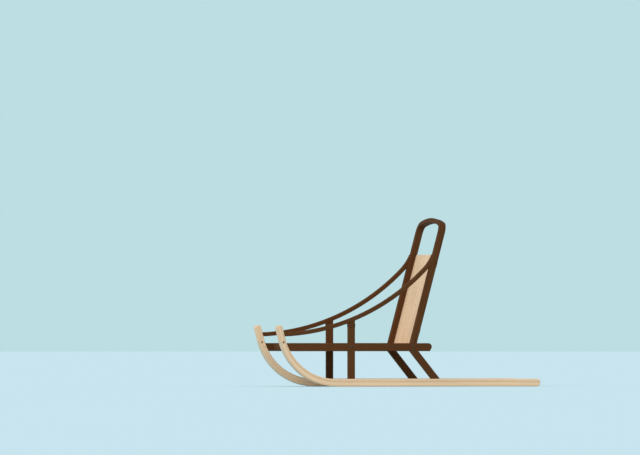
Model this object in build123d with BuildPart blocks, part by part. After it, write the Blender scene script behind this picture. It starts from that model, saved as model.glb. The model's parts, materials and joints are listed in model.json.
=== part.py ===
"""Wooden dog sled: two upturned runners carrying a railed bed, a raked handle bow and a back panel.

Millimetres. +X points to the nose, +Y to the sled's left and +Z up. The origin lies on the ground,
midway between the runners and midway between the horn tips and the runner tails.
"""

from build123d import *
import os
from math import acos, cos, degrees, radians, sin, sqrt, tan

# Overall sizes
sled_length = 1640
bow_height = 1012
runner_spacing = 490

# Runners and their shoes
runner_depth = 46
runner_width = 45
runner_chamfer = 3
nose_radius = 361
nose_sweep = 75.5
taper_lead = 6
horn_depth = 36
horn_height = 367
shoe_thickness = 4
tow_hole_radius = 7
tow_hole_height = 265

# Stanchions, braces and their tenons into the runners
post_depth = 42
post_width = 28
post_round = 4
stanchion_x = 354
tenon_thickness = 12
tenon_length = 25
tenon_shoulder = 6
glue_gap = 1

# Bed rails
rail_depth = 48
rail_width = 28
rail_round = 4
rail_bottom = 212
rail_tail_x = -145
rail_crown = 22
rail_chin = 13
rail_stub_height = 28
rail_stub_length = 15

# Knee, where the bow leg and the brace meet inside the bed rail
knee_x = -22.5
knee_height = 228
bow_rake = 14.8
brace_lean = 38.8

# Handle bow
bow_depth = 42
bow_width = 28
bow_round = 7
bow_corner = 70
bow_crown = 12

# Top rails
top_rail_depth = 25
top_rail_width = 24
top_rail_chamfer = 3
top_rail_landing = 825
top_rail_bend = 285
top_rail_sweep = 29.5
top_rail_tip = 3
top_rail_nose_height = 312
top_rail_stub_height = 13
top_rail_stub_length = 15
stanchion_tenon_height = 12
stanchion_tenon_thickness = 10

# Cross bunks, tenoned into the bed rails, and the slats along them
bunk_count = 5
bunk_nose_gap = 30
bunk_tail_gap = 14
bunk_width = 38
bunk_depth = 24
bunk_round = 3
bunk_tenon_width = 26
bunk_tenon_height = 14
bunk_tenon_length = 12
bunk_lip = 10
slat_count = 7
slat_width = 52
slat_thickness = 12
slat_round = 3
slat_edge_gap = 9
slat_drop = 8
slat_end_gap = 1

# Back panel: tongued boards let in flush at the backs of the bow legs, with two battens behind them
board_count = 5
board_thickness = 7
board_chamfer = 1.2
board_top = 791
board_rebate = 8
board_housing = 3
tongue_thickness = 2.4
tongue_length = 6
tongue_gap = 0.5
batten_width = 36
batten_thickness = 8
batten_chamfer = 3
batten_heights = {"lower": 335, "upper": 735}

# Places that follow from those sizes
SIDES = {"left": 1, "right": -1}
sweep = radians(nose_sweep)
rake = radians(bow_rake)
tail_end_x = -sled_length / 2
tail_x = tail_end_x + runner_depth / 2
rail_top = rail_bottom + rail_depth
rail_middle = rail_bottom + rail_depth / 2
rail_clear = runner_spacing - rail_width
bow_clear = runner_spacing - bow_width
slat_top = rail_top - slat_drop
bunk_top = slat_top - slat_thickness
board_foot = slat_top - board_housing
board_clear = bow_clear + 2 * board_rebate
board_front = board_thickness - bow_depth / 2
board_middle = (board_thickness - bow_depth) / 2
mortise_floor = runner_depth - tenon_length - glue_gap
tenon_depth = post_depth - 2 * tenon_shoulder

# Nose bend: the horn's straight end, where the bend leaves the ground, and its hollow side
horn_straight = (
    horn_height - horn_depth / 2 * (1 + cos(sweep)) - nose_radius * (1 - cos(sweep))
) / sin(sweep)
bend_x = (
    sled_length / 2
    - horn_depth / 2 * (1 - sin(sweep))
    - nose_radius * sin(sweep)
    - horn_straight * cos(sweep)
)
hollow_x = bend_x + taper_lead
hollow_radius = nose_radius - (
    horn_depth + taper_lead * sin(sweep) - runner_depth * cos(sweep)
) / (1 - cos(sweep))


def side_plane(side):
    """The upright plane along one runner's centre line, with +X to the right and Z up."""
    return Plane.XZ.offset(-side * runner_spacing / 2)


def hollow_bend_x(height):
    """Where the hollow side of the nose bend stands at a height."""
    drop = runner_depth + hollow_radius - height
    return hollow_x + sqrt(hollow_radius**2 - drop**2)


def horn_back_x(height):
    """Where the back of the straight horn stands at a height, above the bend."""
    rise = height - runner_depth - hollow_radius * (1 - cos(sweep))
    return hollow_x + hollow_radius * sin(sweep) + rise / tan(sweep)


def leg_x(height):
    """Where the bow leg's centre line stands at a height."""
    return knee_x - (height - knee_height) * tan(rake)


def brace_x(height):
    """Where the brace's centre line stands at a height."""
    return knee_x + (height - knee_height) * tan(radians(brace_lean))


def leaning_bar(low_x, lean, depth, low, high):
    """Draw a bar cut level at `low` and `high`, leaning forward by `lean` from low_x.

    `depth` is measured square to its length.
    """
    half = depth / 2 / cos(radians(lean))
    high_x = low_x + (high - low) * tan(radians(lean))
    Polygon(
        (low_x - half, low),
        (low_x + half, low),
        (high_x + half, high),
        (high_x - half, high),
        align=None,
    )


def save(part, name):
    """Label one finished piece and write it as its own STEP file."""
    part.label = name
    export_step(part, f"parts/{name}.step")


os.makedirs("parts", exist_ok=True)
rail_nose_x = hollow_bend_x(rail_middle) + rail_stub_length
bunk_front_x = hollow_bend_x(bunk_top - bunk_depth) - bunk_nose_gap - bunk_width / 2
bunk_rear_x = rail_tail_x + bunk_tail_gap + bunk_width / 2
top_rail_nose_x = horn_back_x(top_rail_nose_height) + top_rail_stub_length
tow_hole_x = (
    hollow_bend_x(tow_hole_height)
    + bend_x
    + sqrt(nose_radius**2 - (nose_radius - tow_hole_height) ** 2)
) / 2

# Runners, each with its shoe let in flush from the tail to the top of the bend
runners = {}
for side_name, side in SIDES.items():
    with BuildPart() as runner_stock:
        with BuildSketch(side_plane(side)):
            with BuildLine():
                Line((tail_x, 0), (bend_x, 0))
                face_bend = JernArc((bend_x, 0), (1, 0), nose_radius, nose_sweep)
                horn_face = PolarLine(face_bend @ 1, horn_straight, nose_sweep)
                horn_tip = JernArc(horn_face @ 1, horn_face % 1, horn_depth / 2, 180)
                hollow_bend = JernArc((hollow_x, runner_depth), (1, 0), hollow_radius, nose_sweep)
                Line(horn_tip @ 1, hollow_bend @ 1)
                Line((hollow_x, runner_depth), (tail_x, runner_depth))
                JernArc((tail_x, runner_depth), (-1, 0), runner_depth / 2, 180)
            make_face()
        extrude(amount=runner_width / 2, both=True)
        chamfer(runner_stock.faces().filter_by(Axis.Y).edges(), runner_chamfer)

    with BuildPart() as shoe_space:
        with BuildSketch(side_plane(side)):
            with BuildLine() as shoe_line:
                shoe_sole = Line((tail_x, 0), (bend_x, 0))
                JernArc(shoe_sole @ 1, shoe_sole % 1, nose_radius, nose_sweep)
            trace(shoe_line.line, line_width=2 * shoe_thickness)
        extrude(amount=runner_width, both=True)

    with BuildPart() as shoe:
        add(runner_stock.part)
        add(shoe_space.part, mode=Mode.INTERSECT)
    save(shoe.part, f"shoe_{side_name}")

    with BuildPart() as runner:
        add(runner_stock.part)
        add(shoe_space.part, mode=Mode.SUBTRACT)
        with BuildSketch(side_plane(side)):
            with Locations((stanchion_x, runner_depth)):
                Rectangle(tenon_depth, tenon_length + glue_gap, align=(Align.CENTER, Align.MAX))
            foot_x = brace_x(mortise_floor)
            leaning_bar(foot_x, brace_lean, tenon_depth, mortise_floor, runner_depth)
            stub_align = (Align.MAX, Align.CENTER)
            with Locations((rail_nose_x + glue_gap, rail_middle)):
                Rectangle(2 * rail_stub_length, rail_stub_height, align=stub_align)
            with Locations((top_rail_nose_x + glue_gap, top_rail_nose_height)):
                Rectangle(2 * top_rail_stub_length, top_rail_stub_height, align=stub_align)
        extrude(amount=tenon_thickness / 2, both=True, mode=Mode.SUBTRACT)
        with BuildSketch(side_plane(side)):
            with Locations((tow_hole_x, tow_hole_height)):
                Circle(tow_hole_radius)
        extrude(amount=runner_width, both=True, mode=Mode.SUBTRACT)
    runners[side_name] = runner.part
    save(runner.part, f"runner_{side_name}")

# Bed rails, halved for stanchion, bow leg and brace on the inner side, and mortised for the bunks
bunk_step = (bunk_front_x - bunk_rear_x) / (bunk_count - 1)
bunk_places = [bunk_rear_x + i * bunk_step for i in range(bunk_count)]
bunk_middle = bunk_top - bunk_depth / 2
bed_rails = {}
for side_name, side in SIDES.items():
    with BuildPart() as bed_rail:
        with BuildSketch(side_plane(side)) as rail_outline:
            Polygon(
                (rail_tail_x + rail_chin, rail_bottom),
                (rail_nose_x, rail_bottom),
                (rail_nose_x, rail_top),
                (rail_tail_x, rail_top),
                (rail_tail_x, rail_middle),
                align=None,
            )
            fillet(rail_outline.vertices().sort_by(Axis.X)[:2].sort_by(Axis.Y)[-1], rail_crown)
        extrude(amount=rail_width / 2, both=True)
        fillet(bed_rail.faces().filter_by(Axis.Y).edges().filter_by(Axis.X), rail_round)
        add(runners[side_name], mode=Mode.SUBTRACT)
        with BuildSketch(side_plane(side)):
            with Locations((stanchion_x, rail_middle)):
                Rectangle(post_depth, rail_depth)
            leaning_bar(leg_x(knee_height), -bow_rake, bow_depth, knee_height, rail_top)
            leaning_bar(brace_x(rail_bottom), brace_lean, post_depth, rail_bottom, knee_height)
        extrude(amount=side * rail_width / 2, mode=Mode.SUBTRACT)
        with Locations(*[(x, side * rail_clear / 2, bunk_middle) for x in bunk_places]):
            Box(
                bunk_tenon_width,
                2 * (bunk_tenon_length + glue_gap),
                bunk_tenon_height,
                mode=Mode.SUBTRACT,
            )
    bed_rails[side_name] = bed_rail.part
    save(bed_rail.part, f"bed_rail_{side_name}")

# Handle bow: one raked, crowned hoop, standing in the knees and rebated behind for the back boards
bow_plane = Plane(
    origin=(knee_x, 0, knee_height), x_dir=(0, 1, 0), z_dir=(cos(rake), 0, sin(rake))
)
crown = radians(bow_crown)
bow_reach = bow_round + (
    bow_height - knee_height - bow_round - (bow_depth / 2 - bow_round) * sin(rake)
) / cos(rake)


def up_bow(height, ahead=0):
    """Distance up the bow plane at which a height is reached, `ahead` of the plane."""
    return (height - knee_height) / cos(rake) - ahead * tan(rake)


def hoop(inset):
    """The face inside a line that runs `inset` inside the hoop's outer edge, past its feet."""
    half = (runner_spacing + bow_width) / 2 - inset
    corner = bow_corner - inset
    arch = (half - corner) / sin(crown) + corner
    spring = bow_reach - inset - arch * (1 - cos(crown)) - corner * cos(crown)
    foot = -rail_depth
    with BuildSketch() as face:
        with BuildLine():
            leg = Line((half, foot), (half, spring))
            shoulder = JernArc(leg @ 1, leg % 1, corner, 90 - bow_crown)
            top = JernArc(shoulder @ 1, shoulder % 1, arch, 2 * bow_crown)
            far_shoulder = JernArc(top @ 1, top % 1, corner, 90 - bow_crown)
            Polyline(far_shoulder @ 1, (-half, foot), (half, foot))
        make_face()
    return face.sketch


board_reach = up_bow(board_top, board_front)
with BuildPart() as bow:
    with BuildSketch(bow_plane):
        add(hoop(0))
        add(hoop(bow_width), mode=Mode.SUBTRACT)
    extrude(amount=bow_depth / 2, both=True)
    split(bisect_by=Plane.XY.offset(knee_height), keep=Keep.TOP)
    hoop_faces = bow.faces().filter_by(Axis(bow_plane.origin, bow_plane.z_dir))
    fillet(hoop_faces.edges() - bow.faces().sort_by(Axis.Z)[0:2].edges(), bow_round)
    for bed_rail in bed_rails.values():
        add(bed_rail, mode=Mode.SUBTRACT)
    with BuildSketch(bow_plane.offset(board_front)):
        with Locations((0, up_bow(board_foot))):
            Rectangle(board_clear, board_reach - up_bow(board_foot), align=(Align.CENTER, Align.MIN))
    extrude(amount=-board_thickness, mode=Mode.SUBTRACT)
save(bow.part, "handle_bow")

# Top rails: bent up from the horn and scarfed to a thin tip on the front of the bow leg
leg_up = Vector(-sin(rake), cos(rake))
leg_front = Vector(cos(rake), sin(rake))
landing = (
    Vector(knee_x, knee_height)
    + leg_up * up_bow(top_rail_landing)
    + leg_front * ((bow_depth - top_rail_depth) / 2)
)
tip_angle = degrees(acos(1 - top_rail_tip / (top_rail_bend - top_rail_depth / 2)))
for side_name, side in SIDES.items():
    with BuildPart() as top_rail:
        with BuildSketch(side_plane(side)):
            with BuildLine() as rail_line:
                fair = JernArc(
                    landing, -leg_up, top_rail_bend, top_rail_sweep, mode=Mode.PRIVATE
                )
                start = tip_angle / top_rail_sweep
                upper = JernArc(
                    fair @ start, fair % start, top_rail_bend, top_rail_sweep - tip_angle
                )
                lower = TangentArc(
                    upper @ 1, (top_rail_nose_x, top_rail_nose_height), tangent=upper % 1
                )
            trace(rail_line.line, line_width=top_rail_depth)
        extrude(amount=top_rail_width / 2, both=True)
        curved_edges = top_rail.faces().filter_by(Axis.Y).edges().filter_by(GeomType.CIRCLE)
        chamfer(curved_edges, top_rail_chamfer)
        add(runners[side_name], mode=Mode.SUBTRACT)
        add(bow.part, mode=Mode.SUBTRACT)
        underside_radius = lower.radius + top_rail_depth / 2
        underside_centre = lower.arc_center
        reach_back = underside_centre.X - stanchion_x
        underside = underside_centre.Y - sqrt(underside_radius**2 - reach_back**2)
        with Locations((stanchion_x, side * runner_spacing / 2, underside)):
            Box(
                tenon_depth,
                stanchion_tenon_thickness,
                2 * (stanchion_tenon_height + glue_gap),
                mode=Mode.SUBTRACT,
            )
    save(top_rail.part, f"top_rail_{side_name}")

# Front stanchions: halved round the bed rail and cut to the top rail's curved underside
for side_name, side in SIDES.items():
    y = side * runner_spacing / 2
    with BuildPart() as stanchion:
        with BuildSketch(Plane.XY.offset(runner_depth)):
            with Locations((stanchion_x, y)):
                RectangleRounded(post_depth, post_width, post_round)
        extrude(amount=underside + top_rail_depth - runner_depth)
        add(bed_rails[side_name], mode=Mode.SUBTRACT)
        with BuildSketch(side_plane(side)):
            with Locations((underside_centre.X, underside_centre.Y)):
                Circle(underside_radius)
        extrude(amount=post_width, both=True, mode=Mode.SUBTRACT)
        with Locations((stanchion_x, y, runner_depth)):
            Box(
                tenon_depth,
                tenon_thickness,
                tenon_length,
                align=(Align.CENTER, Align.CENTER, Align.MAX),
            )
        with Locations((stanchion_x, y, underside)):
            Box(tenon_depth, stanchion_tenon_thickness, 2 * stanchion_tenon_height)
    save(stanchion.part, f"front_stanchion_{side_name}")

# Rear braces: from the runner up into the knee, where each meets its bow leg end to end
for side_name, side in SIDES.items():
    with BuildPart() as brace:
        with BuildSketch(side_plane(side)):
            leaning_bar(brace_x(runner_depth), brace_lean, post_depth, runner_depth, knee_height)
        extrude(amount=post_width / 2, both=True)
        brace_line = Axis((0, 0, 0), (tan(radians(brace_lean)), 0, 1))
        fillet(brace.edges().filter_by(brace_line), post_round)
        add(bed_rails[side_name], mode=Mode.SUBTRACT)
        with BuildSketch(side_plane(side)):
            tenon_floor = mortise_floor + glue_gap
            foot_x = brace_x(tenon_floor)
            leaning_bar(foot_x, brace_lean, tenon_depth, tenon_floor, runner_depth)
        extrude(amount=tenon_thickness / 2, both=True)
    save(brace.part, f"rear_brace_{side_name}")

# Bunks: cross bars between the bed rails, tenoned at both ends; the end ones stop the slats with a lip
lip_sides = {1: -1, bunk_count: 1}
for number, x in enumerate(bunk_places, start=1):
    with BuildPart() as bunk:
        with Locations((x, 0, bunk_middle)):
            Box(bunk_width, rail_clear, bunk_depth)
            fillet(bunk.edges().filter_by(Axis.Y), bunk_round)
            Box(bunk_tenon_width, rail_clear + 2 * bunk_tenon_length, bunk_tenon_height)
        if number in lip_sides:
            lip_x = x + lip_sides[number] * (bunk_width - bunk_lip) / 2
            with Locations((lip_x, 0, bunk_middle)):
                Box(
                    bunk_lip,
                    rail_clear,
                    slat_top - bunk_middle,
                    align=(Align.CENTER, Align.CENTER, Align.MIN),
                )
            fillet(bunk.faces().sort_by(Axis.Z)[-1].edges().filter_by(Axis.Y), bunk_round)
    save(bunk.part, f"bunk_{number}")

# Bed slats, laid along the bunks, with one leaning groove across them all for the back boards
slat_inset = bunk_width / 2 - bunk_lip - slat_end_gap
slat_rear_x = bunk_rear_x - slat_inset
slat_length = bunk_front_x + slat_inset - slat_rear_x
slat_step = (rail_clear - 2 * slat_edge_gap - slat_width) / (slat_count - 1)
for number in range(slat_count):
    with BuildPart() as slat:
        with Locations((slat_rear_x, (number - (slat_count - 1) / 2) * slat_step, bunk_top)):
            Box(
                slat_length,
                slat_width,
                slat_thickness,
                align=(Align.MIN, Align.CENTER, Align.MIN),
            )
        fillet(slat.faces().sort_by(Axis.Z)[-1].edges(), slat_round)
        with BuildSketch(Plane.XZ):
            foot_x = leg_x(board_foot) + board_middle / cos(rake)
            leaning_bar(foot_x, -bow_rake, board_thickness, board_foot, slat_top)
        extrude(amount=rail_clear, both=True, mode=Mode.SUBTRACT)
    save(slat.part, f"bed_slat_{number + 1}")

# Back boards: tongued and grooved, standing in the slats' groove between the bow legs
board_width = board_clear / board_count
for number in range(board_count):
    low_y = -board_clear / 2 + number * board_width
    with BuildPart() as board:
        with BuildSketch(bow_plane.offset(board_middle - board_thickness / 2)):
            with Locations((low_y, 0)):
                Rectangle(board_width, board_reach, align=(Align.MIN, Align.MIN))
        extrude(amount=board_thickness)
        bow_line = Axis((0, 0, 0), (-sin(rake), 0, cos(rake)))
        chamfer(board.edges().filter_by(bow_line), board_chamfer)
        if number > 0:
            with BuildSketch(bow_plane.offset(board_middle - tongue_thickness / 2)):
                with Locations((low_y, 0)):
                    Rectangle(
                        tongue_length + tongue_gap, board_reach, align=(Align.MIN, Align.MIN)
                    )
            extrude(amount=tongue_thickness, mode=Mode.SUBTRACT)
        if number < board_count - 1:
            with BuildSketch(bow_plane.offset(board_middle - tongue_thickness / 2)):
                with Locations((low_y + board_width, 0)):
                    Rectangle(2 * tongue_length, board_reach, align=(Align.CENTER, Align.MIN))
            extrude(amount=tongue_thickness)
        split(bisect_by=Plane.XY.offset(board_foot), keep=Keep.TOP)
    save(board.part, f"back_board_{number + 1}")

# Back battens, behind the boards and just as long as the bow legs are apart
for batten_name, height in batten_heights.items():
    with BuildPart() as batten:
        with BuildSketch(bow_plane.offset(-bow_depth / 2)):
            with Locations((0, up_bow(height))):
                Rectangle(bow_clear, batten_width)
        extrude(amount=-batten_thickness)
        batten_back = batten.faces().sort_by(Axis(bow_plane.origin, bow_plane.z_dir))[0]
        chamfer(batten_back.edges(), batten_chamfer)
    save(batten.part, f"back_batten_{batten_name}")
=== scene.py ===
"""Looks of the wooden dog sled: oiled and dark-stained ash, plastic shoes, cord bindings and fasteners.

Metres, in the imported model's frame: +X to the nose, +Y to the sled's left, +Z up from the ground.
"""

import json
import logging
from dataclasses import dataclass, field
from enum import Enum
from math import cos, pi, radians, sin, tan
from typing import Mapping, Sequence

import bmesh
import bpy
import numpy as np
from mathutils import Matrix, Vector

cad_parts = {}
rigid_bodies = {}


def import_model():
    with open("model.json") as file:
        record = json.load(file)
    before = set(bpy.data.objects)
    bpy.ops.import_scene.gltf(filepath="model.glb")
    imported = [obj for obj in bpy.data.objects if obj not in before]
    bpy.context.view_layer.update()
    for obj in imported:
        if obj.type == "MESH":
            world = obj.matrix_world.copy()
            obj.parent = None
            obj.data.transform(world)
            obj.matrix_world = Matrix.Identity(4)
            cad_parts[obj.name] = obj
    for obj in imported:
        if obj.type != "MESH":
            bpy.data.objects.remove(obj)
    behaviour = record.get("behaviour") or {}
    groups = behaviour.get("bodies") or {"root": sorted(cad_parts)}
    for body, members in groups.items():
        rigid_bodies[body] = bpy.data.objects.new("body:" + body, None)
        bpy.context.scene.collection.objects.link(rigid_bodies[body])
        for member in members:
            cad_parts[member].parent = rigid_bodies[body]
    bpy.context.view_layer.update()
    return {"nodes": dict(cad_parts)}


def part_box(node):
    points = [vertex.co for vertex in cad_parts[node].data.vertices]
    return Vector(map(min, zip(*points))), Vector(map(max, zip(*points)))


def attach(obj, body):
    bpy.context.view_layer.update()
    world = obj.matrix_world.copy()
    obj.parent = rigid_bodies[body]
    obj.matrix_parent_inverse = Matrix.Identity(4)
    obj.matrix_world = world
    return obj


log = logging.getLogger("dog_sled")

Thing = bpy.types.Object
Material = bpy.types.Material
Node = bpy.types.Node
Socket = bpy.types.NodeSocket
Inputs = Mapping[int | str, object]
Pair = tuple[float, float]
Triple = tuple[float, float, float]
SIDES = {"left": 1.0, "right": -1.0}
ALONG, ACROSS, UP = np.eye(3)
# A Mix node's colour inputs and output come after those for numbers and vectors
MIX_SHARE, MIX_FIRST, MIX_SECOND, MIX_RESULT = 0, 6, 7, 2


# Node trees

@dataclass(frozen=True)
class Noise:
    """A noise: its waves in a metre in each direction, its finer layers, and how strong they are."""

    scale: Triple
    detail: float = 2.0
    roughness: float = 0.5


@dataclass
class Graph:
    """Adds nodes to one material's or world's tree and joins them."""

    tree: bpy.types.NodeTree

    def fill(self, node: Node, inputs: Inputs) -> None:
        """Link or set some of a node's inputs.

        Args:
            node: the node.
            inputs: for each input's number or name a socket, a number, a vector or a colour, which gets
                full alpha.
        """
        for key, value in inputs.items():
            socket = node.inputs[key]
            if isinstance(value, Socket):
                self.tree.links.new(value, socket)
            else:
                socket.default_value = (*value, 1.0) if socket.type == "RGBA" else value

    def add(self, kind: str, inputs: Inputs, **settings: object) -> Node:
        """Add a node.

        Args:
            kind: its Blender type.
            inputs: what its inputs get.
            settings: its properties.

        Returns:
            The new node.
        """
        node = self.tree.nodes.new(kind)
        for name, value in settings.items():
            setattr(node, name, value)
        self.fill(node, inputs)
        return node

    def calc(self, operation: str, *values: object) -> Socket:
        """The number that a Math node's operation makes of some values."""
        return self.add("ShaderNodeMath", dict(enumerate(values)), operation=operation).outputs[0]

    def vector(self, operation: str, *values: object) -> Socket:
        """The vector, or dot product or length, that a Vector Math node makes of some values."""
        node = self.add("ShaderNodeVectorMath", dict(enumerate(values)), operation=operation)
        return node.outputs["Value" if operation in ("DOT_PRODUCT", "LENGTH") else "Vector"]

    def place(self) -> Socket:
        """The point being shaded, in the sled's frame."""
        return self.add("ShaderNodeTexCoord", {}).outputs["Object"]

    def split(self, vector: Socket) -> tuple[Socket, ...]:
        """The three parts of a vector."""
        return tuple(self.add("ShaderNodeSeparateXYZ", {0: vector}).outputs)

    def join(self, *parts: object) -> Socket:
        """A vector from its three parts."""
        return self.add("ShaderNodeCombineXYZ", dict(enumerate(parts))).outputs[0]

    def noise(self, place: Socket, noise: Noise) -> Socket:
        """The value of a noise at a point, from 0 to 1."""
        inputs = {"Vector": self.vector("MULTIPLY", place, noise.scale), "Scale": 1.0}
        inputs |= {"Detail": noise.detail, "Roughness": noise.roughness}
        return self.add("ShaderNodeTexNoise", inputs).outputs[0]

    def between(self, value: Socket, low: float, high: float) -> Socket:
        """Smooth step of a value, from 0 at `low` to 1 at `high`, which may be the lower of the two."""
        inputs = {"Value": value, "From Min": low, "From Max": high}
        return self.add("ShaderNodeMapRange", inputs, interpolation_type="SMOOTHSTEP").outputs["Result"]

    def swing(self, value: Socket, reach: float, middle: float = 0.0) -> Socket:
        """Spread a value from 0 to 1 over `middle` less and plus `reach`."""
        return self.calc("MULTIPLY_ADD", value, 2 * reach, middle - reach)

    def pick(self, share: Socket, first: Socket, second: Socket) -> Socket:
        """The first number where `share` is 0, and the second where it is 1."""
        return self.calc("MULTIPLY_ADD", self.calc("SUBTRACT", second, first), share, first)

    def mix(self, share: Socket, first: Socket | Triple, second: Socket | Triple) -> Socket:
        """Blend two colours: the first where `share` is 0, and the second where it is 1."""
        inputs = {MIX_SHARE: share, MIX_FIRST: first, MIX_SECOND: second}
        return self.add("ShaderNodeMix", inputs, data_type="RGBA").outputs[MIX_RESULT]

    def bump(self, height: Socket, share: float, distance: float) -> Socket:
        """The normal tilted, by a share, as `distance` times a height from 0 to 1 tilts it."""
        inputs = {"Strength": share, "Distance": distance, "Height": height}
        return self.add("ShaderNodeBump", inputs).outputs[0]


def scaled(colour: Triple, level: float) -> Triple:
    """A linear colour with its level scaled."""
    return tuple(part * level for part in colour)


def new_material(name: str) -> tuple[Material, Graph, Node]:
    """Start a material.

    Args:
        name: its name.

    Returns:
        The material, its graph and its shader node.
    """
    material = bpy.data.materials.new(name)
    material.use_nodes = True
    return material, Graph(material.node_tree), material.node_tree.nodes["Principled BSDF"]


def cover(thing: Thing, material: Material) -> None:
    """Give an object one material all over."""
    thing.data.materials.clear()
    thing.data.materials.append(material)


# Grain lines: how far along a member a point lies, and where in its section

@dataclass(frozen=True)
class Bend:
    """One arc of a grain line: distance run along it, and distance outside it.

    It starts one radius from its centre along `radial`, leaves along `tangent`, and `run` is how far
    along the whole line its start is.
    """

    centre: np.ndarray
    radial: np.ndarray
    tangent: np.ndarray
    radius: float
    sweep: float
    run: float = 0.0

    def start(self) -> np.ndarray:
        """The point at which the arc begins."""
        return self.centre + self.radial * self.radius

    def measure(self, graph: Graph, place: Socket) -> tuple[Socket, Socket]:
        """Measure a point against the arc and the straight lines that continue it.

        With p and q the point's distances from the centre along the radial and the tangent, the turn t
        is atan2(q, p) kept between 0 and the sweep. The run is R t - p sin t + q cos t, and the
        distance outside is p cos t + q sin t - R.

        Args:
            graph: the graph to add to.
            place: the point.

        Returns:
            The run's and the distance's sockets.
        """
        away = graph.vector("SUBTRACT", place, self.centre)
        p = graph.vector("DOT_PRODUCT", away, self.radial)
        q = graph.vector("DOT_PRODUCT", away, self.tangent)
        turn = graph.calc("ARCTAN2", q, p)
        turn = graph.calc("MINIMUM", graph.calc("MAXIMUM", turn, 0.0), self.sweep)
        sine, cosine = graph.calc("SINE", turn), graph.calc("COSINE", turn)
        run = graph.calc("MULTIPLY_ADD", turn, self.radius, self.run)
        run = graph.calc("MULTIPLY_ADD", q, cosine, run)
        run = graph.calc("SUBTRACT", run, graph.calc("MULTIPLY", p, sine))
        out = graph.calc("MULTIPLY_ADD", p, cosine, graph.calc("MULTIPLY", q, sine))
        return run, graph.calc("SUBTRACT", out, self.radius)


@dataclass(frozen=True)
class BentGrain:
    """Grain that follows one bend after another, each joined smoothly to the next.

    `mirrored` measures both sides of the sled as one line that is folded at the middle.
    """

    bends: tuple[Bend, ...]
    mirrored: bool = False

    def measure(self, graph: Graph) -> Socket:
        """Measure the shaded point against the line, by the last bend whose start it has passed.

        Args:
            graph: the graph to add to.

        Returns:
            The socket of its run, distance outside the line and distance across the bends' plane.
        """
        place = graph.place()
        if self.mirrored:
            x, y, z = graph.split(place)
            place = graph.join(x, graph.calc("ABSOLUTE", y), z)
        run, out = self.bends[0].measure(graph, place)
        for bend in self.bends[1:]:
            away = graph.vector("SUBTRACT", place, bend.start())
            past = graph.calc("GREATER_THAN", graph.vector("DOT_PRODUCT", away, bend.tangent), 0.0)
            next_run, next_out = bend.measure(graph, place)
            run, out = graph.pick(past, run, next_run), graph.pick(past, out, next_out)
        across = np.cross(self.bends[0].radial, self.bends[0].tangent)
        return graph.join(run, out, graph.vector("DOT_PRODUCT", place, across))


@dataclass(frozen=True)
class StraightGrain:
    """Grain along one direction, with the section's depth along another."""

    along: np.ndarray
    deep: np.ndarray
    origin: Sequence[float]

    def measure(self, graph: Graph) -> Socket:
        """Measure the shaded point against the member's middle line.

        Args:
            graph: the graph to add to.

        Returns:
            The socket of its run, depth and breadth.
        """
        away = graph.vector("SUBTRACT", graph.place(), self.origin)
        ways = (self.along, self.deep, np.cross(self.along, self.deep))
        return graph.join(*(graph.vector("DOT_PRODUCT", away, way) for way in ways))


Grain = BentGrain | StraightGrain


# Finishes

@dataclass(frozen=True)
class Section:
    """A member's section: half its depth and breadth, and its middle off the grain line."""

    half: Pair
    middle: Pair = (0.0, 0.0)


@dataclass(frozen=True)
class Peg:
    """The flush end of a wooden peg, on the faces that look along Y."""

    x: float
    z: float
    radius: float = 0.005
    rim: float = 0.0004


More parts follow.
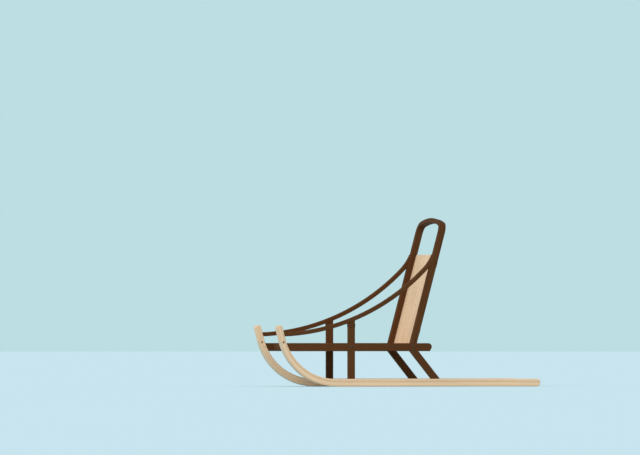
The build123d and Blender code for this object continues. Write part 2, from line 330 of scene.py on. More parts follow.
@dataclass(frozen=True)
class WoodFinish:
    """Ash under a finish: growth rings round a pith beside the member, pores, fibres and worn edges.

    A band is where the smooth step over a value starts and ends, and `relief` is the bump's share and
    height.
    """

    name: str
    ground: Triple
    ring: Triple
    pore: Triple
    wear: Triple
    ring_share: float
    tone_share: float
    wear_share: float
    roughness: float
    specular: float
    log_reach: Pair = (3.0, 9.0)
    pith_depth: Pair = (0.05, 0.11)
    pith_side: Pair = (-0.03, 0.05)
    wander: Noise = Noise((1.6, 9.0, 9.0))
    wander_reach: float = 0.008
    ring_spacing: float = 0.0026
    ring_fade: Pair = (0.62, 0.0)
    ring_rise: Pair = (-0.02, 0.08)
    fibre: Noise = Noise((14.0, 700.0, 700.0), 3.0, 0.6)
    fibre_reach: float = 0.17
    shade_band: Pair = (-0.12, 0.62)
    speck: Noise = Noise((110.0, 2600.0, 2600.0), 1.0)
    pore_band: Pair = (0.58, 0.70)
    tone: Noise = Noise((2.2, 14.0, 14.0), 3.0)
    scuff: Noise = Noise((22.0, 120.0, 120.0), 4.0, 0.65)
    scuff_band: Pair = (0.44, 0.66)
    worn_width: float = 0.006
    ring_dullness: float = 0.10
    wear_dullness: float = 0.15
    fibre_height: float = 0.5
    pore_height: float = -0.6
    relief: Pair = (0.5, 0.0003)
    peg_level: float = 0.86

    def dress(
        self, thing: Thing, grain: Grain, section: Section, seed: int, pegs: Sequence[Peg] = ()
    ) -> None:
        """Give one member its own piece of wood.

        Args:
            thing: the member's object.
            grain: its grain line.
            section: its section about that line.
            seed: which piece of wood it is cut from.
            pegs: peg ends that show on its sides.
        """
        material, graph, shader = new_material(f"{self.name}_{thing.name}")
        draw = np.random.default_rng(seed)
        shift = draw.uniform(*self.log_reach, 3)
        pith = (draw.uniform(*self.pith_depth), draw.uniform(*self.pith_side))
        place = grain.measure(graph)
        spot = graph.split(place)[1:]
        wood = graph.vector("ADD", place, shift)

        early = self.early_wood(graph, wood, spot, pith)
        fibre = graph.noise(wood, self.fibre)
        pores = graph.between(graph.noise(wood, self.speck), *self.pore_band)
        pores = graph.calc("MULTIPLY", pores, early)
        worn = self.worn_edges(graph, wood, spot, section)

        shade = graph.calc("MULTIPLY_ADD", early, self.ring_share, graph.swing(fibre, self.fibre_reach))
        base = graph.mix(graph.between(shade, *self.shade_band), self.ground, self.ring)
        base = graph.mix(pores, base, self.pore)
        tone = graph.swing(graph.noise(wood, self.tone), self.tone_share, 1.0)
        base = graph.vector("MULTIPLY", base, graph.join(tone, tone, tone))
        base = graph.mix(worn, base, self.wear)
        for peg in pegs:
            base = self.paint_peg(graph, base, peg)

        dull = graph.calc("MULTIPLY_ADD", early, self.ring_dullness, self.roughness)
        height = graph.calc("MULTIPLY", fibre, self.fibre_height)
        height = graph.calc("MULTIPLY_ADD", pores, self.pore_height, height)
        inputs = {
            "Base Color": base,
            "Roughness": graph.calc("MULTIPLY_ADD", worn, self.wear_dullness, dull),
            "Specular IOR Level": self.specular,
            "Normal": graph.bump(height, *self.relief),
        }
        graph.fill(shader, inputs)
        cover(thing, material)

    def early_wood(self, graph: Graph, wood: Socket, spot: Sequence[Socket], pith: Pair) -> Socket:
        """Find the dark, open early wood of each ring.

        The ring's number is the distance from the pith / spacing, and slow noise moves the pith as the
        grain runs on. Early wood is strongest near a ring's start, and fades out along it.

        Args:
            graph: the graph to add to.
            wood: the point in its log.
            spot: the point's depth and breadth in the section.
            pith: how far the pith lies beyond the grain line, in depth and breadth.

        Returns:
            The socket of its strength, from 0 to 1.
        """
        drift = graph.swing(graph.noise(wood, self.wander), self.wander_reach)
        deep = graph.calc("ADD", graph.calc("ADD", spot[0], drift), pith[0])
        wide = graph.calc("ADD", spot[1], pith[1])
        far = graph.vector("LENGTH", graph.join(deep, wide, 0.0))
        ring = graph.calc("FRACT", graph.calc("DIVIDE", far, self.ring_spacing))
        fade, rise = (graph.between(ring, *band) for band in (self.ring_fade, self.ring_rise))
        return graph.calc("MULTIPLY", fade, rise)

    def worn_edges(self, graph: Graph, wood: Socket, spot: Sequence[Socket], section: Section) -> Socket:
        """Find where the finish is worn, in patches along the section's four long edges.

        It is the noise's step times two smooth steps of |distance from the middle| / half size.

        Args:
            graph: the graph to add to.
            wood: the point in its log.
            spot: the point's depth and breadth in the section.
            section: the member's section.

        Returns:
            The socket of the wear, from 0 to the finish's share.
        """
        worn = graph.between(graph.noise(wood, self.scuff), *self.scuff_band)
        worn = graph.calc("MULTIPLY", worn, self.wear_share)
        for value, middle, half in zip(spot, section.middle, section.half):
            away = graph.calc("ABSOLUTE", graph.calc("SUBTRACT", value, middle))
            near = graph.between(graph.calc("DIVIDE", away, half), 1 - self.worn_width / half, 1.0)
            worn = graph.calc("MULTIPLY", worn, near)
        return worn

    def paint_peg(self, graph: Graph, base: Socket, peg: Peg) -> Socket:
        """Paint a peg's end grain: a disc of darker wood with a fine dark rim.

        Args:
            graph: the graph to add to.
            base: the wood's colour.
            peg: the peg.

        Returns:
            The socket of the colour with the peg's end in it.
        """
        x, _, z = graph.split(graph.place())
        away = graph.join(graph.calc("SUBTRACT", x, peg.x), graph.calc("SUBTRACT", z, peg.z), 0.0)
        far = graph.vector("LENGTH", away)
        rim = graph.between(far, peg.radius + peg.rim, peg.radius)
        inside = graph.between(far, peg.radius - peg.rim / 2, peg.radius - 2 * peg.rim)
        return graph.mix(inside, graph.mix(rim, base, self.pore), scaled(self.ground, self.peg_level))


@dataclass(frozen=True)
class ShoeFinish:
    """Plastic runner shoe: matte, scratched along its run and clouded where snow has polished it."""

    name: str
    ground: Triple
    scratch: Triple
    roughness: float
    specular: float = 0.2
    shift: Triple = (1.7, 0.3, 0.9)
    fine: Noise = Noise((9.0, 300.0, 900.0), 2.0, 0.6)
    fine_band: Pair = (0.60, 0.72)
    broad: Noise = Noise((4.0, 60.0, 260.0), 1.0)
    broad_band: Pair = (0.63, 0.70)
    cloud: Noise = Noise((6.0, 30.0, 30.0), 3.0)
    cloud_share: float = 0.25
    scratch_share: float = 0.5
    scratch_dullness: float = 0.18
    relief: Pair = (0.4, 0.0002)

    def dress(self, thing: Thing, grain: BentGrain, seed: int) -> None:
        """Give one shoe its finish: two layers of long thin scratches over slow clouding.

        Args:
            thing: the shoe's object.
            grain: the line that its scratches follow.
            seed: which stretch of the pattern it gets.
        """
        material, graph, shader = new_material(f"{self.name}_{thing.name}")
        along, deep, wide = self.shift
        place = graph.vector("ADD", grain.measure(graph), (seed * along, deep, seed * wide))
        fine = graph.between(graph.noise(place, self.fine), *self.fine_band)
        broad = graph.between(graph.noise(place, self.broad), *self.broad_band)
        marks = graph.calc("MAXIMUM", fine, broad)
        cloud = graph.calc("MULTIPLY", graph.noise(place, self.cloud), self.cloud_share)
        share = graph.calc("MULTIPLY_ADD", marks, self.scratch_share, cloud)
        inputs = {
            "Base Color": graph.mix(share, self.ground, self.scratch),
            "Roughness": graph.calc("MULTIPLY_ADD", marks, self.scratch_dullness, self.roughness),
            "Specular IOR Level": self.specular,
            "Normal": graph.bump(graph.calc("MULTIPLY", marks, -1.0), *self.relief),
        }
        graph.fill(shader, inputs)
        cover(thing, material)


@dataclass(frozen=True)
class CordFinish:
    """Waxed laid cord: slanting strands from the piece's own UV map, in a dark tone, with painted shade in
    the grooves.
    """

    name: str
    # ground is the cord darkened by painted shade in its grooves, crown the colour of the strands' tops
    ground: Triple
    crown: Triple
    strands: float = 3.0
    fuzz: Noise = Noise((900.0, 900.0, 900.0))
    fuzz_reach: float = 0.3
    roughness: float = 0.62
    specular: float = 0.1
    relief: Pair = (0.7, 0.0004)

    def material(self) -> Material:
        """Build the cord's material.

        Strand height = |sin| of pi times (strands per turn of u plus the twist along v).
        The colour runs from `ground` in the grooves to `crown` on the strands' tops, as painted shade in
        the grooves.

        Returns:
            The material.
        """
        material, graph, shader = new_material(self.name)
        around, along, _ = graph.split(graph.add("ShaderNodeUVMap", {}, uv_map="lay").outputs[0])
        phase = graph.calc("MULTIPLY_ADD", around, self.strands, along)
        strand = graph.calc("ABSOLUTE", graph.calc("SINE", graph.calc("MULTIPLY", phase, pi)))
        fuzz = graph.swing(graph.noise(graph.place(), self.fuzz), self.fuzz_reach, 1 - self.fuzz_reach)
        inputs = {
            # painted shade: the colour is darker in the grooves between strands and lighter on their tops
            "Base Color": graph.mix(graph.calc("MULTIPLY", strand, fuzz), self.ground, self.crown),
            "Roughness": self.roughness,
            "Specular IOR Level": self.specular,
            "Normal": graph.bump(strand, *self.relief),
        }
        graph.fill(shader, inputs)
        return material


@dataclass(frozen=True)
class MetalFinish:
    """Plated steel, dulled by weather: brushed patches, and darker film where wet has stood."""

    name: str
    bright: Triple
    dull: Triple
    roughness: float = 0.34
    film: Noise = Noise((420.0, 420.0, 420.0), 4.0, 0.65)
    film_band: Pair = (0.40, 0.62)
    film_dullness: float = 0.22
    grit: Noise = Noise((2600.0, 2600.0, 2600.0), 1.0)
    relief: Pair = (0.25, 0.0001)

    def material(self) -> Material:
        """Build the metal's material from two scales of noise.

        Returns:
            The material.
        """
        material, graph, shader = new_material(self.name)
        place = graph.place()
        film = graph.between(graph.noise(place, self.film), *self.film_band)
        inputs = {
            "Base Color": graph.mix(film, self.bright, self.dull),
            "Roughness": graph.calc("MULTIPLY_ADD", film, self.film_dullness, self.roughness),
            "Normal": graph.bump(graph.noise(place, self.grit), *self.relief),
            "Metallic": 1.0,
        }
        graph.fill(shader, inputs)
        return material


# Meshes

def grid_mesh(name: str, points: np.ndarray, uv: np.ndarray | None = None) -> Thing:
    """Make one smooth mesh from one or more grids of points whose columns close on themselves.

    A first or last row that is all one point closes its grid there as a pole.

    Args:
        name: the new object's name.
        points: places of shape (grids, rows, columns, 3).
        uv: each point's map place, of shape (rows, columns + 1, 2), for the lay of a cord.

    Returns:
        The object, standing at the origin.
    """
    grids, rows, columns, _ = points.shape
    index = np.arange(grids * rows * columns).reshape(grids, rows, columns)
    ahead = np.roll(index, -1, axis=2)
    faces = np.stack([index[:, :-1], ahead[:, :-1], ahead[:, 1:], index[:, 1:]], axis=-1).reshape(-1, 4)
    mesh = bpy.data.meshes.new(name)
    mesh.from_pydata(points.reshape(-1, 3).tolist(), [], faces.tolist())
    if uv is not None:
        corners = np.stack([uv[:-1, :-1], uv[:-1, 1:], uv[1:, 1:], uv[1:, :-1]], axis=2).reshape(-1, 2)
        layer = mesh.uv_layers.new(name="lay")
        layer.data.foreach_set("uv", np.tile(corners, (grids, 1)).astype(np.float32).ravel())
    mesh.polygons.foreach_set("use_smooth", np.ones(len(faces), dtype=bool))
    shell = bmesh.new()
    shell.from_mesh(mesh)
    bmesh.ops.remove_doubles(shell, verts=shell.verts, dist=1e-7)
    shell.to_mesh(mesh)
    shell.free()
    thing = bpy.data.objects.new(name, mesh)
    bpy.context.scene.collection.objects.link(thing)
    return thing


def frames_for(axes: np.ndarray) -> np.ndarray:
    """Right-handed frames whose third direction is each axis.

    The first is square to the axis and to Z, or to X where the axis is nearly upright.

    Args:
        axes: unit axes of shape (n, 3).

    Returns:
        Directions of shape (n, 3 directions, 3).
    """
    nearly_upright = 0.9
    helper = np.where(np.abs(axes[:, 2:]) < nearly_upright, UP, ALONG)
    first = np.cross(helper, axes)
    first /= np.linalg.norm(first, axis=1, keepdims=True)
    return np.stack([first, np.cross(axes, first), axes], axis=1)


class Head(Enum):
    """Profiles of the fasteners' ends, each row a ring: radius, height and the number of its sides.

    A ring of 0 sides is round. With n sides, its radius at the angle t is
    radius cos(pi/n) / cos((t mod 2 pi/n) - pi/n).
    """

    SCREW = (
        (0.0, -0.0016, 0), (0.0036, -0.0016, 0), (0.0036, 0.0000, 0),
        (0.0034, 0.0003, 0), (0.0024, 0.0007, 0), (0.0017, 0.0008, 4),
        (0.0016, 0.0007, 4), (0.0014, -0.0010, 4), (0.0, -0.0010, 0),
    )
    BOLT = (
        (0.0, -0.0010, 0), (0.0070, -0.0010, 0), (0.0070, 0.0003, 0), (0.0066, 0.0010, 0),
        (0.0054, 0.0018, 0), (0.0036, 0.0024, 0), (0.0016, 0.0027, 0), (0.0, 0.0027, 0),
    )
    RIVET = (
        (0.0, -0.0006, 0), (0.0060, -0.0006, 0), (0.0060, 0.0006, 0), (0.0056, 0.0009, 0),
        (0.0032, 0.0009, 0), (0.0028, 0.0014, 0), (0.0014, 0.0016, 0), (0.0, 0.0016, 0),
    )


@dataclass
class FastenerSet:
    """All ends of one kind of fastener in one part: where each meets the wood, and its unit axis."""

    name: str
    head: Head
    spokes: int = 24
    ends: list[tuple[Sequence[float], Sequence[float]]] = field(default_factory=list)

    def put(self, place: Sequence[float], axis: Sequence[float]) -> None:
        """Add one end."""
        self.ends.append((place, axis))

    def build(self, material: Material) -> None:
        """Turn the head's profile round every axis, all in one object.

        A point is place + radius (cos t first + sin t second) + height axis.

        Args:
            material: the metal's material.
        """
        turn = np.arange(self.spokes) * 2 * pi / self.spokes
        radius, height, sides = (column[:, None] for column in np.array(self.head.value).T)
        part = 2 * pi / np.where(sides > 0, sides, 1.0)
        flats = np.cos(part / 2) / np.cos(np.mod(turn, part) - part / 2)
        radius = radius * np.where(sides > 0, flats, 1.0)
        shape = (radius * np.cos(turn), radius * np.sin(turn), np.broadcast_to(height, radius.shape))
        places, axes = np.array(self.ends, dtype=float).transpose(1, 0, 2)
        points = np.einsum("rck,nkj->nrcj", np.stack(shape, axis=-1), frames_for(axes))
        thing = grid_mesh(self.name, points + places[:, None, None])
        cover(thing, material)
        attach(thing, "root")
        log.info("%s: %d ends", self.name, len(self.ends))


@dataclass
class Binding:
    """A cord wound closely round a member with a rounded rectangular section.

    `lay` is the cord's length for each strand's twist, and `flat_share` is the share of each quarter of
    a turn that runs along each flat beside its corner.
    """

    name: str
    origin: np.ndarray
    axis: np.ndarray
    deep: np.ndarray
    half_depth: float
    half_width: float
    corner: float
    turns: int
    cord: float = 0.0018
    pitch: float = 0.00184
    lay: float = 0.00216
    flat_share: float = 0.25
    loop_points: int = 56
    cord_points: int = 8

    def loop(self, share: np.ndarray) -> tuple[np.ndarray, np.ndarray]:
        """Walk the section's outline once as `share` goes from 0 to 1.

        The outline is a rounded rectangle, half a cord outside the section. Each quarter of the walk
        goes round one corner: along the flat before it, round the corner's circle, where the outward
        direction turns by a quarter turn, and along the flat after it.

        Args:
            share: how far round, for each point of the cord's line.

        Returns:
            The places and the outward directions, both in depth and breadth, of shape (n, 2).
        """
        leg, rest = np.floor(share * 4).astype(int) % 4, np.mod(share * 4, 1.0)
        before = np.clip(rest / self.flat_share, 0, 1)
        after = np.clip((rest - 1 + self.flat_share) / self.flat_share, 0, 1)
        turned = np.clip((rest - self.flat_share) / (1 - 2 * self.flat_share), 0, 1)
        normal = (leg + turned) * (pi / 2)
        outward = np.stack([np.cos(normal), np.sin(normal)], axis=-1)
        corner = np.stack([np.where((leg == 0) | (leg == 3), 1, -1), np.where(leg < 2, 1, -1)], axis=-1)
        corner = corner * (np.array([self.half_depth, self.half_width]) - self.corner)
        even = leg % 2 == 0
        flat = np.stack([np.where(even, 1 - after, before), np.where(even, before, 1 - after)], axis=-1)
        return corner * flat + outward * (self.corner + self.cord / 2), outward

    def build(self, material: Material) -> None:
        """Wind the cord: its line climbs one pitch a turn, and a circle follows it.

        A point is line + cord / 2 (cos a outward + sin a axis), with the angle a round the cord.

        Args:
            material: the cord's material.
        """
        count = self.turns * self.loop_points + 1
        travel = np.linspace(0.0, self.turns, count)
        spots, outward = self.loop(np.mod(travel, 1.0))
        ways = np.stack([self.deep, np.cross(self.axis, self.deep)])
        line = self.origin + spots @ ways + np.outer(travel * self.pitch, self.axis)
        turn = (np.arange(self.cord_points) * 2 * pi / self.cord_points)[None, :, None]
        slim = np.full(count, self.cord / 2)
        slim[0] = slim[-1] = 0.0
        ring = np.cos(turn) * (outward @ ways)[:, None] + np.sin(turn) * self.axis
        points = line[:, None] + slim[:, None, None] * ring
        length = np.concatenate([[0.0], np.cumsum(np.linalg.norm(np.diff(line, axis=0), axis=1))])
        around, along = np.meshgrid(np.linspace(0, 1, self.cord_points + 1), length / self.lay)
        thing = grid_mesh(self.name, points[None, :, ::-1], uv=np.stack([around, along], axis=-1))
        cover(thing, material)
        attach(thing, "root")
        log.info("%s: %d turns", self.name, self.turns)


# The sled's sizes and sub-assemblies

@dataclass(frozen=True)
class Block:
    """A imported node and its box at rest: its middle and half of its sizes, along X, Y and Z."""

    node: Thing
    middle: np.ndarray
    half: np.ndarray

    @classmethod
    def of(cls, node: Thing) -> "Block":
        """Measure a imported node."""
        low, high = (np.array(corner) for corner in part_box(node.name))
        return cls(node, (high + low) / 2, (high - low) / 2)


@dataclass(frozen=True)
class Plan:
    """Sizes and places that several sub-assemblies share.

    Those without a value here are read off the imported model. `side` is half the runners' spacing, the
    rake and the lean are from the upright, `knee` is the x and z where bow leg, brace and bed rail
    meet, and `landing` is the height at which the top rail's line meets the bow's.
    """

    side: float
    rail_height: float
    stanchion_x: float
    member_width: float
    member_depth: float
    rake: float = radians(14.8)
    lean: float = radians(38.8)
    knee: Pair = (-0.0225, 0.228)
    landing: float = 0.825

    @classmethod
    def read(cls, nodes: dict[str, Thing]) -> "Plan":
        """Read the plan off a bed rail and a stanchion.

        Args:
            nodes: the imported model's nodes.

        Returns:
            The plan.
        """
        rail, post = Block.of(nodes["bed_rail_left"]), Block.of(nodes["front_stanchion_left"])
        _, side, height = rail.middle
        depth, width, _ = 2 * post.half
        return cls(side, height, post.middle[0], width, depth)

    def bow_up(self) -> np.ndarray:
        """The direction up the bow's plane."""
        return np.array([-sin(self.rake), 0.0, cos(self.rake)])

    def bow_front(self) -> np.ndarray:
        """The direction square to the bow's plane, to the front."""
        return np.array([cos(self.rake), 0.0, sin(self.rake)])

    def on_bow(self, height: float, side: float, ahead: float) -> np.ndarray:
        """A point of the bow's plane.

        Args:
            height: its height above the ground along the leg's middle line.
            side: its place across the sled.
            ahead: its distance in front of the plane.

        Returns:
            The point.
        """
        x, z = self.knee
        up = (height - z) / cos(self.rake)
        return np.array([x, side, z]) + self.bow_up() * up + self.bow_front() * ahead


@dataclass
class Part:
    """A sub-assembly of the sled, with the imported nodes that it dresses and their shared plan."""

    nodes: dict[str, Thing]
    plan: Plan

    def row(self, name: str, count: int) -> list[Block]:
        """The nodes of one name that are numbered from 1 up."""
        return [Block.of(self.nodes[f"{name}_{number}"]) for number in range(1, count + 1)]

    def dress(self) -> None:
        """Give each node its material."""
        raise NotImplementedError

    def fasten(self) -> None:
        """Add the small pieces of a part that has some."""

    def build(self) -> None:
        """Dress the nodes and add the small pieces."""
        self.dress()
        self.fasten()
        log.info("%s built", type(self).__name__)


@dataclass
class Runners(Part):
    """The two upturned runners with their peg ends, and the shoes let into their soles."""

    wood: WoodFinish
    shoe: ShoeFinish
    wood_seed: int = 11
    shoe_seed: int = 21
    bend_x: float = 0.450819
    nose_radius: float = 0.361
    nose_sweep: float = radians(75.5)
    depth: float = 0.046
    foot_peg_height: float = 0.034
    brace_foot_x: float = -0.1785
    rail_stub_x: float = 0.7565
    tip_peg: Peg = Peg(0.7813, 0.312, radius=0.004)

    def grain(self) -> BentGrain:
        """The sole's line: along the ground, then up round the nose."""
        centre = np.array([self.bend_x, 0.0, self.nose_radius])
        return BentGrain((Bend(centre, -UP, ALONG, self.nose_radius, self.nose_sweep),))

    def dress(self) -> None:
        """Give the runners oiled ash with peg ends, and the shoes scratched plastic."""
        pegs = (
            Peg(self.plan.stanchion_x, self.foot_peg_height),
            Peg(self.brace_foot_x, self.foot_peg_height),
            Peg(self.rail_stub_x, self.plan.rail_height),
            self.tip_peg,
        )
        for number, (name, sign) in enumerate(SIDES.items()):
            runner = self.nodes[f"runner_{name}"]
            half_width = Block.of(runner).half[1]
            middle = (-self.depth / 2, -sign * self.plan.side)
            section = Section((self.depth / 2, half_width), middle)
            self.wood.dress(runner, self.grain(), section, self.wood_seed + number, pegs)
            self.shoe.dress(self.nodes[f"shoe_{name}"], self.grain(), self.shoe_seed + number)


@dataclass
class Bed(Part):
    """Bed rails, cross bunks and slats, with the screws and bolts that hold them.

    The end bunks have lips, so each kind's height and depth are those of its second member.
    """

    dark: WoodFinish
    pale: WoodFinish
    metal: Material
    rail_seed: int = 31
    bunk_seed: int = 41
    slat_seed: int = 50
    bunk_count: int = 5
    slat_count: int = 7
    bolt_above_knee: float = 0.013
    bolt_below_knee: float = 0.009

    def dress(self) -> None:
        """Run the grain along each rail and slat, and across the sled in the bunks."""
        rails = [Block.of(self.nodes[f"bed_rail_{name}"]) for name in SIDES]
        kinds = (
            (rails, ALONG, self.dark, self.rail_seed),
            (self.row("bunk", self.bunk_count), ACROSS, self.dark, self.bunk_seed),
            (self.row("bed_slat", self.slat_count), ALONG, self.pale, self.slat_seed),
        )
        for members, along, wood, seed in kinds:
            height, depth = members[1].middle[2], members[1].half[2]
            for number, member in enumerate(members):
                x, y, _ = member.middle * (1 - along)
                section = Section((depth, float(member.half @ (1 - along - UP))))
                wood.dress(member.node, StraightGrain(along, UP, (x, y, height)), section, seed + number)

    def fasten(self) -> None:
        """Screw each slat to each bunk and each bunk to its rails, and bolt the halved joints."""
        slat_screws = FastenerSet("slat_screws", Head.SCREW)
        rail_screws = FastenerSet("rail_screws", Head.SCREW)
        bolts = FastenerSet("rail_bolts", Head.BOLT)
        rivets = FastenerSet("rail_rivets", Head.RIVET)
        bunks = [bunk.middle for bunk in self.row("bunk", self.bunk_count)]
        outside, inside = (self.plan.side + way * self.plan.member_width / 2 for way in (1, -1))
        x, z = self.plan.knee
        above, below = self.bolt_above_knee, self.bolt_below_knee
        joints = (
            (self.plan.stanchion_x, self.plan.rail_height),
            (x - above * tan(self.plan.rake), z + above),
            (x - below * tan(self.plan.lean), z - below),
        )
        for bunk in bunks:
            for slat in self.row("bed_slat", self.slat_count):
                slat_screws.put((bunk[0], slat.middle[1], slat.middle[2] + slat.half[2]), UP)
        for sign in SIDES.values():
            for bunk in bunks:
                rail_screws.put((bunk[0], sign * outside, bunks[1][2]), sign * ACROSS)
            for joint_x, joint_z in joints:
                bolts.put((joint_x, sign * outside, joint_z), sign * ACROSS)
                rivets.put((joint_x, sign * inside, joint_z), -sign * ACROSS)
        for fasteners in (slat_screws, rail_screws, bolts, rivets):
            fasteners.build(self.metal)


@dataclass
class Uprights(Part):
    """Front stanchions and rear braces, with a cord whipping at each stanchion's head."""

    wood: WoodFinish
    cord: Material
    stanchion_seed: int = 61
    brace_seed: int = 63
    binding_top: float = 0.3767
    binding_turns: int = 11
    edge_round: float = 0.004

    def dress(self) -> None:
        """Run the grain up each stanchion and along each brace."""
        section = Section((self.plan.member_depth / 2, self.plan.member_width / 2))
        x, z = self.plan.knee
        up = np.array([sin(self.plan.lean), 0.0, cos(self.plan.lean)])
        ahead = np.array([cos(self.plan.lean), 0.0, -sin(self.plan.lean)])
        for number, (name, sign) in enumerate(SIDES.items()):
            stanchion, brace = self.nodes[f"front_stanchion_{name}"], self.nodes[f"rear_brace_{name}"]
            y = sign * self.plan.side
            grain = StraightGrain(UP, ALONG, (self.plan.stanchion_x, y, 0.0))
            self.wood.dress(stanchion, grain, section, self.stanchion_seed + number)
            grain = StraightGrain(up, ahead, (x, y, z))
            self.wood.dress(brace, grain, section, self.brace_seed + number)

    def fasten(self) -> None:
        """Whip the head of each stanchion below the top rail."""
        for name, sign in SIDES.items():
            Binding(
                f"stanchion_binding_{name}",
                origin=np.array([self.plan.stanchion_x, sign * self.plan.side, self.binding_top]),
                axis=-UP,
                deep=ALONG,
                half_depth=self.plan.member_depth / 2,
                half_width=self.plan.member_width / 2,
                corner=self.edge_round,
                turns=self.binding_turns,
            ).build(self.cord)


@dataclass
class HandleBow(Part):
    """The raked hoop that the handle and the back panel's legs are made of."""

    wood: WoodFinish
    seed: int = 71
    top: float = 1.012
    edge_round: float = 0.007
    corner: float = 0.070
    crown: float = radians(12)

    def grain(self) -> BentGrain:
        """Up the leg, round the corner and over the arch, folded at the middle.

        With w half the hoop's outer width, r the corner's outer radius and c the crown's angle, the
        arch's outer radius is R = (w - r) / sin c + r, and the corner starts R (1 - cos c) + r cos c
        below the hoop's highest point, measured down its plane.

        Returns:
            The hoop's middle line.
        """
        width, rake = self.plan.member_width, self.plan.rake
        half = self.plan.side + width / 2
        x, z = self.plan.knee
        inner = (self.plan.member_depth / 2 - self.edge_round) * sin(rake)
        reach = self.edge_round + (self.top - z - self.edge_round - inner) / cos(rake)
        arch = (half - self.corner) / sin(self.crown) + self.corner
        spring = reach - arch * (1 - cos(self.crown)) - self.corner * cos(self.crown)
        origin, up = np.array([x, 0.0, z]), self.plan.bow_up()
        turned = pi / 2 - self.crown
        bend_radius, arch_radius = self.corner - width / 2, arch - width / 2
        bend_centre = origin + ACROSS * (half - self.corner) + up * spring
        radial = ACROSS * cos(turned) + up * sin(turned)
        tangent = up * cos(turned) - ACROSS * sin(turned)
        bend = Bend(bend_centre, ACROSS, up, bend_radius, turned, spring)
        run = spring + bend_radius * turned
        over = Bend(origin + up * (reach - arch), radial, tangent, arch_radius, 2 * self.crown, run)
        return BentGrain((bend, over), mirrored=True)

    def dress(self) -> None:
        """Run the grain round the hoop."""
        x, z = self.plan.knee
        middle = float(np.dot([x, 0.0, z], np.cross(ACROSS, self.plan.bow_up())))
        section = Section((self.plan.member_width / 2, self.plan.member_depth / 2), (0.0, middle))
        self.wood.dress(self.nodes["handle_bow"], self.grain(), section, self.seed)


@dataclass
class TopRails(Part):
    """The bent rails from the horns to the bow, with the screws in their scarfs.

    `bend` and `sweep` are the tight bend's radius and angle, and `long_sweep` is more than the long arc
    needs to reach the nose.
    """

    wood: WoodFinish
    metal: Material
    seed: int = 81
    depth: float = 0.025
    width: float = 0.024
    bend: float = 0.285
    sweep: float = radians(29.5)
    long_sweep: float = radians(60)
    nose: Pair = (0.788839, 0.312)
    scarf_screws: Pair = (radians(12.5), radians(19))

    def bend_centre(self) -> np.ndarray:
        """The tight bend's centre, ahead of the point where the rail's line meets the bow's."""
        ahead = (self.plan.member_depth - self.depth) / 2 + self.bend
        return self.plan.on_bow(self.plan.landing, 0.0, ahead)

    def grain(self) -> BentGrain:
        """Down the bow's front, round the tight bend and along the long sweep to the nose.

        The long arc leaves the bend's end J square to its radius and meets the nose E, so its radius is
        |E - J| squared / (2 (E - J) . n), with n the direction from J to both centres.

        Returns:
            The rail's middle line.
        """
        up, front = self.plan.bow_up(), self.plan.bow_front()
        radial = -front * cos(self.sweep) - up * sin(self.sweep)
        tangent = -up * cos(self.sweep) + front * sin(self.sweep)
        centre = self.bend_centre()
        joint = centre + radial * self.bend
        away = np.array([self.nose[0], 0.0, self.nose[1]]) - joint
        radius = float(away @ away / (2 * away @ -radial))
        tight = Bend(centre, -front, -up, self.bend, self.sweep)
        run = self.bend * self.sweep
        long = Bend(joint - radial * radius, radial, tangent, radius, self.long_sweep, run)
        return BentGrain((tight, long))

    def dress(self) -> None:
        """Run the grain along both rails."""
        across = np.cross(-self.plan.bow_front(), -self.plan.bow_up())
        for number, (name, sign) in enumerate(SIDES.items()):
            middle = float(sign * self.plan.side * across[1])
            section = Section((self.depth / 2, self.width / 2), (0.0, middle))
            self.wood.dress(self.nodes[f"top_rail_{name}"], self.grain(), section, self.seed + number)

    def fasten(self) -> None:
        """Screw each scarf to its bow leg, square to the rail's hollow face."""
        screws = FastenerSet("scarf_screws", Head.SCREW)
        up, front = self.plan.bow_up(), self.plan.bow_front()
        face = self.bend - self.depth / 2
        for sign in SIDES.values():
            side = ACROSS * sign * self.plan.side
            for turn in self.scarf_screws:
                outward = front * cos(turn) + up * sin(turn)
                screws.put(self.bend_centre() + side - outward * face, outward)
        screws.build(self.metal)


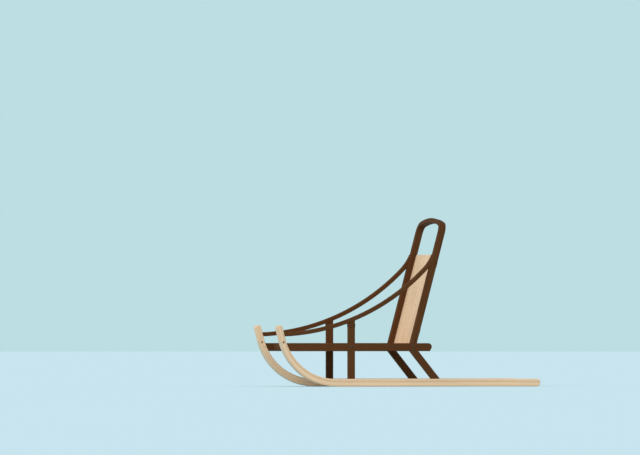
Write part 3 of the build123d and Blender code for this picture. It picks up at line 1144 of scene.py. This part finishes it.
@dataclass
class BackPanel(Part):
    """The tongued boards between the bow legs, and the battens behind them."""

    pale: WoodFinish
    dark: WoodFinish
    metal: Material
    board_seed: int = 91
    batten_seed: int = 98
    board_count: int = 5
    board_thickness: float = 0.007
    rebate: float = 0.008
    batten_thickness: float = 0.008
    batten_depth: float = 0.036
    batten_heights: Pair = (0.335, 0.735)
    batten_screw: float = 0.026
    rebate_screw: float = 0.2348
    rebate_heights: tuple[float, ...] = (0.290, 0.400, 0.535, 0.670, 0.775)

    def step(self) -> float:
        """The boards' spacing: their clear width and both rebates, shared out."""
        clear = 2 * self.plan.side - self.plan.member_width
        return (clear + 2 * self.rebate) / self.board_count

    def places(self) -> np.ndarray:
        """The boards' middles across the sled."""
        return (np.arange(self.board_count) - (self.board_count - 1) / 2) * self.step()

    def dress(self) -> None:
        """Run the grain up the boards and along the battens."""
        up, front = self.plan.bow_up(), self.plan.bow_front()
        leg_back, half = -self.plan.member_depth / 2, self.board_thickness / 2
        for number, y in enumerate(self.places()):
            grain = StraightGrain(up, front, self.plan.on_bow(self.plan.knee[1], y, leg_back + half))
            board, section = self.nodes[f"back_board_{number + 1}"], Section((half, self.step() / 2))
            self.pale.dress(board, grain, section, self.board_seed + number)
        section = Section((self.batten_depth / 2, self.batten_thickness / 2))
        ahead = leg_back - self.batten_thickness / 2
        for number, (name, height) in enumerate(zip(("lower", "upper"), self.batten_heights)):
            grain = StraightGrain(ACROSS, up, self.plan.on_bow(height, 0.0, ahead))
            self.dark.dress(self.nodes[f"back_batten_{name}"], grain, section, self.batten_seed + number)

    def fasten(self) -> None:
        """Screw the battens to the boards from behind, and the outer boards into the legs' rebates."""
        batten_screws = FastenerSet("batten_screws", Head.SCREW)
        board_screws = FastenerSet("board_screws", Head.SCREW)
        leg_back, back = -self.plan.member_depth / 2, -self.plan.bow_front()
        for height in self.batten_heights:
            for y in self.places():
                for offset in (-self.batten_screw, self.batten_screw):
                    place = self.plan.on_bow(height, y + offset, leg_back - self.batten_thickness)
                    batten_screws.put(place, back)
        for height in self.rebate_heights:
            for sign in SIDES.values():
                board_screws.put(self.plan.on_bow(height, sign * self.rebate_screw, leg_back), back)
        batten_screws.build(self.metal)
        board_screws.build(self.metal)


# Floor, light and camera

@dataclass(frozen=True)
class Studio:
    """A pale snow-coloured floor, a plain sky-coloured background, soft light and a long lens."""

    snow: Triple = (0.550, 0.739, 0.814)
    snow_roughness: float = 0.95
    drift: Noise = Noise((1.1, 1.1, 1.1))
    drift_levels: Pair = (0.99, 1.01)
    sky: Triple = (0.508, 0.730, 0.768)
    light: Triple = (0.79, 0.79, 0.79)
    sun: float = 1.42
    sun_from: Triple = (0.60, 0.58, 0.60)
    sun_angle: float = radians(25)
    floor_radius: float = 81.0
    floor_rings: int = 24
    floor_spokes: int = 128
    camera_turn: float = radians(15.3724)
    camera_away: float = 90.0
    camera_height: float = 0.4417
    aim: Triple = (0.54752, 0.245, 0.95235)
    frame_width: float = 3.82969
    sensor: float = 36.0
    clip: Pair = (1.0, 400.0)

    def build_floor(self) -> None:
        """Lay a round floor: rings of points at radius R (k / n) squared, from the middle out."""
        rings, spokes = self.floor_rings, self.floor_spokes
        radius = self.floor_radius * (np.arange(rings) / (rings - 1)) ** 2
        turn = np.arange(spokes) * 2 * pi / spokes
        shape = (np.outer(radius, np.cos(turn)), np.outer(radius, np.sin(turn)), np.zeros((rings, spokes)))
        floor = grid_mesh("floor", np.stack(shape, axis=-1)[None, ::-1])
        material, graph, shader = new_material("snow_floor")
        low, high = (scaled(self.snow, level) for level in self.drift_levels)
        inputs = {
            "Base Color": graph.mix(graph.noise(graph.place(), self.drift), low, high),
            "Roughness": self.snow_roughness,
            "Specular IOR Level": 0.0,
        }
        graph.fill(shader, inputs)
        cover(floor, material)

    def build_world(self) -> None:
        """Light the sled with an even neutral world that the camera and gloss see as sky."""
        world = bpy.data.worlds.new("studio")
        bpy.context.scene.world = world
        world.use_nodes = True
        graph = Graph(world.node_tree)
        world.node_tree.nodes.clear()
        path = graph.add("ShaderNodeLightPath", {}).outputs
        seen = graph.calc("MAXIMUM", path["Is Camera Ray"], path["Is Glossy Ray"])
        seen = graph.calc("MAXIMUM", seen, path["Is Transmission Ray"])
        glow = graph.add("ShaderNodeBackground", {"Color": graph.mix(seen, self.light, self.sky)})
        graph.add("ShaderNodeOutputWorld", {"Surface": glow.outputs[0]})

    def build_sun(self) -> None:
        """Add one wide soft sun from the front left."""
        lamp = bpy.data.lights.new("soft_sun", "SUN")
        lamp.energy = self.sun
        lamp.angle = self.sun_angle
        sun = bpy.data.objects.new("soft_sun", lamp)
        sun.rotation_euler = Vector(self.sun_from).to_track_quat("Z", "Y").to_euler()
        bpy.context.scene.collection.objects.link(sun)

    def build_camera(self) -> None:
        """Stand a long lens level beside the sled, so that its image is nearly a parallel view."""
        camera = bpy.data.cameras.new("long_lens")
        camera.sensor_width = self.sensor
        camera.lens = self.sensor * self.camera_away / self.frame_width
        camera.clip_start, camera.clip_end = self.clip
        stand = bpy.data.objects.new("long_lens", camera)
        back = np.array([sin(self.camera_turn), cos(self.camera_turn), 0.0]) * self.camera_away
        place = np.array(self.aim) + back
        place[2] = self.camera_height
        stand.location = place
        stand.rotation_euler = Vector(place - np.array(self.aim)).to_track_quat("Z", "Y").to_euler()
        bpy.context.scene.collection.objects.link(stand)
        bpy.context.scene.camera = stand

    def build(self) -> None:
        """Set the whole stage and the colour transform."""
        self.build_floor()
        self.build_world()
        self.build_sun()
        self.build_camera()
        bpy.context.scene.view_settings.view_transform = "Standard"
        log.info("studio built")


PALE_ASH = WoodFinish(
    name="oiled_ash",
    ground=(0.802, 0.570, 0.370),
    ring=(0.595, 0.387, 0.216),
    pore=(0.250, 0.150, 0.070),
    wear=(0.520, 0.390, 0.250),
    ring_share=0.34,
    tone_share=0.16,
    wear_share=0.45,
    roughness=0.52,
    specular=0.16,
)
DARK_ASH = WoodFinish(
    name="stained_ash",
    ground=(0.1040, 0.0395, 0.0128),
    ring=(0.0550, 0.0198, 0.0062),
    pore=(0.018, 0.008, 0.004),
    wear=(0.230, 0.125, 0.060),
    ring_share=0.40,
    tone_share=0.20,
    wear_share=0.50,
    roughness=0.64,
    specular=0.05,
)
SHOE_PLASTIC = ShoeFinish(
    name="shoe_plastic",
    ground=(0.620, 0.470, 0.305),
    scratch=(0.780, 0.660, 0.500),
    roughness=0.50,
)
WAXED_CORD = CordFinish(
    name="waxed_cord",
    # ground: painted shade for the grooves between strands; crown: the strands' tops
    ground=(0.052, 0.0215, 0.0075),
    crown=(0.165, 0.068, 0.022),
)
WEATHERED_STEEL = MetalFinish(
    name="weathered_steel",
    bright=(0.130, 0.085, 0.050),
    dull=(0.060, 0.032, 0.016),
)


def clear_scene() -> None:
    """Take out whatever stands in the scene before the frame is loaded."""
    for thing in list(bpy.data.objects):
        bpy.data.objects.remove(thing)


def main() -> None:
    """Load the frame, dress it piece by piece, add the small pieces and set the stage."""
    logging.basicConfig(level=logging.INFO, format="%(name)s: %(message)s")
    clear_scene()
    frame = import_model()
    nodes = frame["nodes"]
    plan = Plan.read(nodes)
    log.info("%s", plan)
    metal = WEATHERED_STEEL.material()
    cord = WAXED_CORD.material()

    Runners(nodes, plan, PALE_ASH, SHOE_PLASTIC).build()
    Bed(nodes, plan, DARK_ASH, PALE_ASH, metal).build()
    Uprights(nodes, plan, DARK_ASH, cord).build()
    HandleBow(nodes, plan, DARK_ASH).build()
    TopRails(nodes, plan, DARK_ASH, metal).build()
    BackPanel(nodes, plan, PALE_ASH, DARK_ASH, metal).build()
    Studio().build()


if __name__ == "__main__":
    main()
